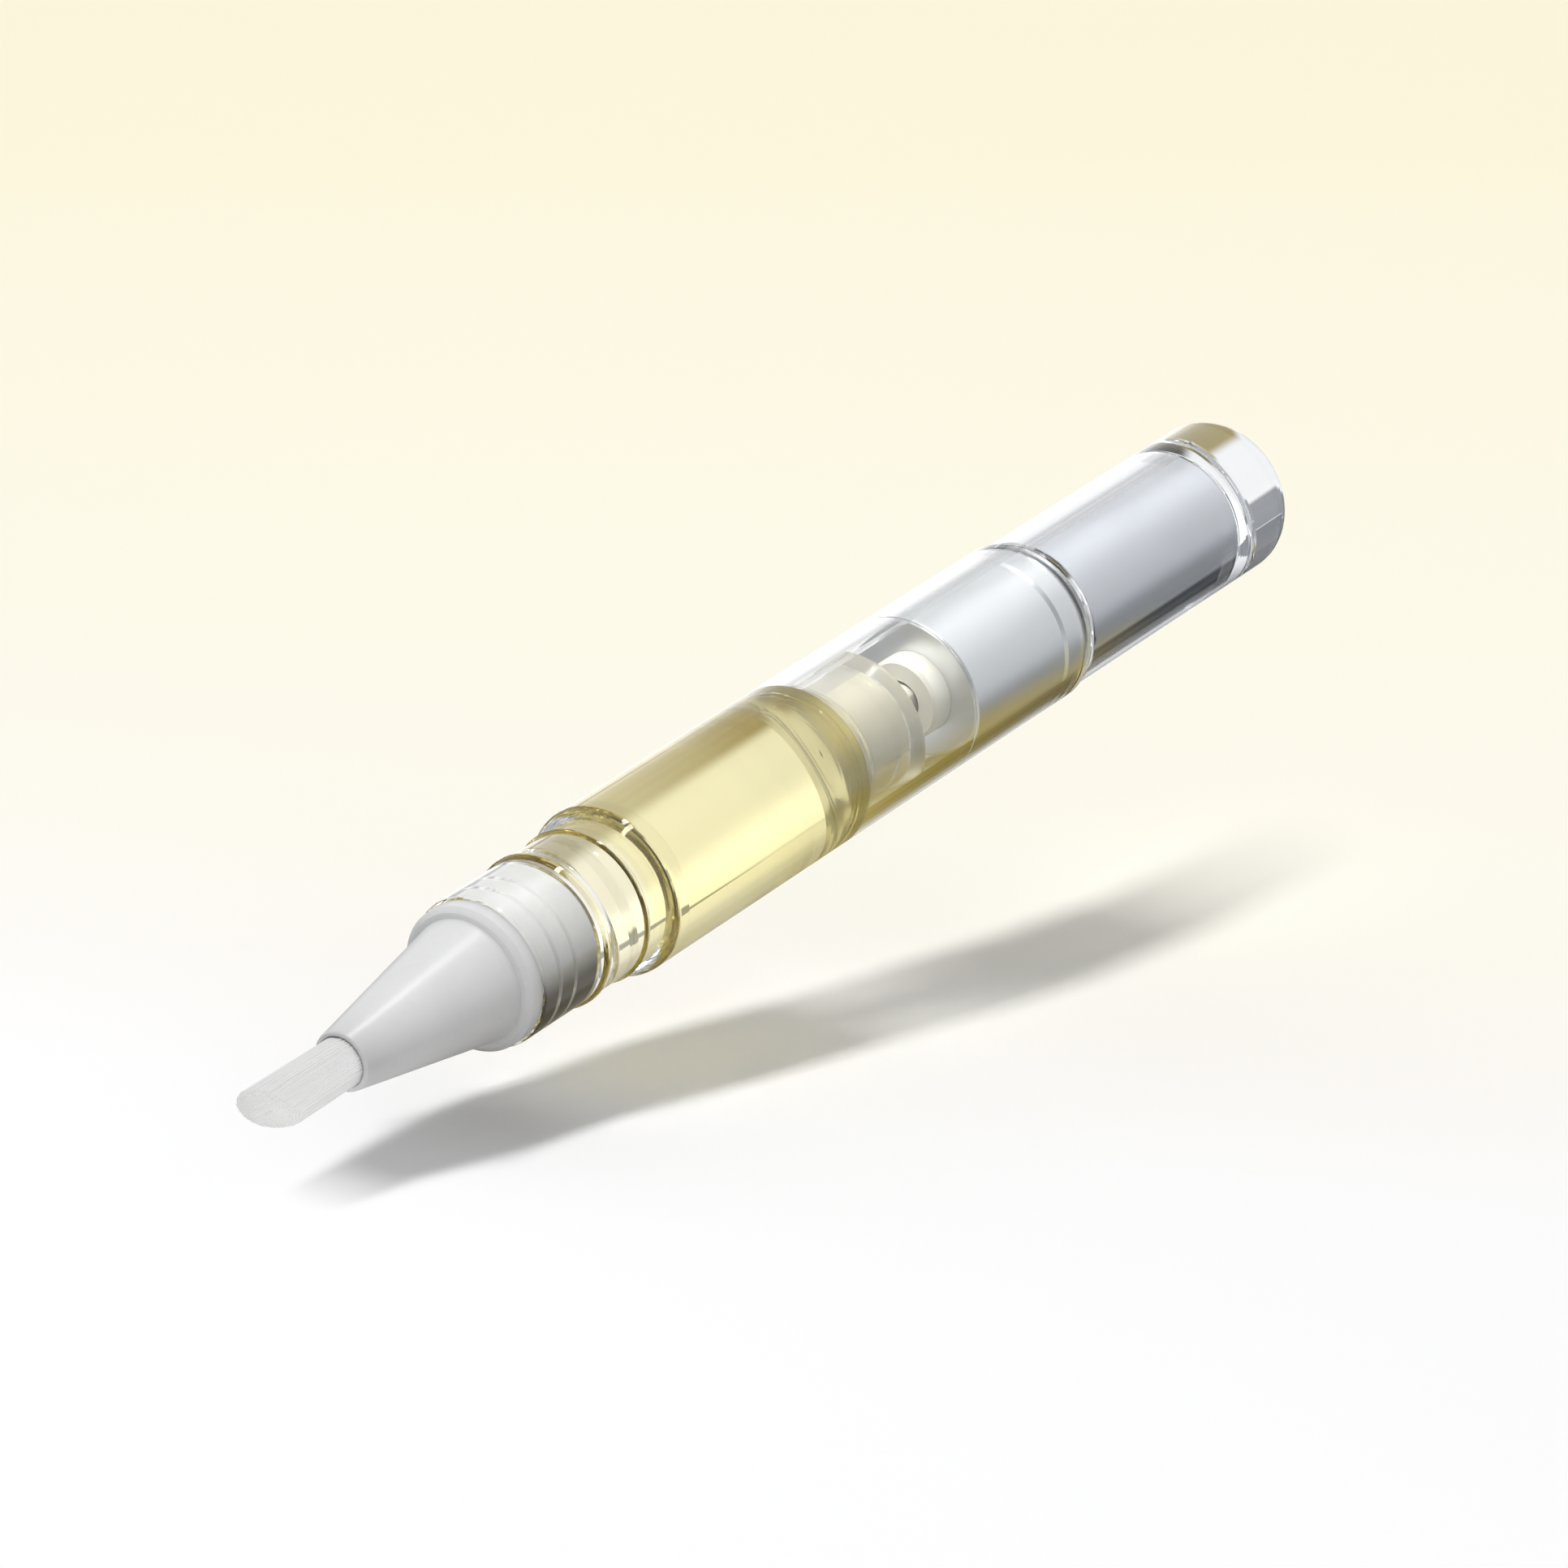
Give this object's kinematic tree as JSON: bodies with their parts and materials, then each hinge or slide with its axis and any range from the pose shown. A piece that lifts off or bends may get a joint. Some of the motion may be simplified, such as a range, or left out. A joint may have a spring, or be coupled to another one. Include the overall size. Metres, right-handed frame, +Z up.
{
  "type": "nail oil pen",
  "caption": "Uncapped twist pen with a slanted brush on a frosted cone nozzle, a clear barrel of pale oil with a necked front, and a clear twist knob.",
  "frame": {"origin": "under the middle of the pen's length, on the surface that it lies on", "axes": "+X along the pen towards the knob, +Z up, and the brush points to -X"},
  "size_m": [0.1142, 0.012, 0.012],
  "materials": {
    "filament": "white nylon, matt",
    "white_plastic": "moulded, satin",
    "frosted_plastic": "translucent, frosted",
    "clear_plastic": "clear, polished",
    "oil": "pale yellow liquid",
    "soft_seal": "soft, satin",
    "silver": "metallised, silver",
    "knob_clear": "clear, thick, polished"
  },
  "bodies": {
    "barrel": {"barrel": "clear_plastic", "nozzle": "frosted_plastic", "brush_bristles": "filament", "brush_collar": "white_plastic", "feed_tube": "white_plastic", "brush_retainer": "white_plastic", "oil_fill": "oil", "thread_nut": "white_plastic", "guide_sleeve": "silver", "ratchet_ring": "white_plastic", "end_bush": "silver"},
    "knob": {"knob_shell": "knob_clear", "knob_core": "silver", "drive_sleeve": "white_plastic", "ratchet_spring": "white_plastic"},
    "piston": {"piston_seal": "soft_seal", "piston_core": "white_plastic"},
    "rod": {"screw_rod": "white_plastic", "tail_stop": "white_plastic"}
  },
  "joints": [
    {"name": "knob_twist", "type": "hinge", "parent": "barrel", "child": "knob", "pos_m": [0, 0, 0.006], "axis": [-1, 0, 0], "range_deg": [0, 3600]},
    {"name": "piston_slide", "type": "slide", "parent": "barrel", "child": "piston", "axis": [-1, 0, 0], "range_m": [0, 0.02], "deforming": ["oil_fill"]},
    {"name": "rod_spin", "type": "hinge", "parent": "piston", "child": "rod", "pos_m": [0, 0, 0.006], "axis": [-1, 0, 0], "range_deg": [0, 3600]}
  ],
  "couplings": [
    {"joint": "knob_twist", "follows": "piston_slide", "rad_per_m": 3141.6},
    {"joint": "rod_spin", "follows": "piston_slide", "rad_per_m": 3141.6}
  ]
}
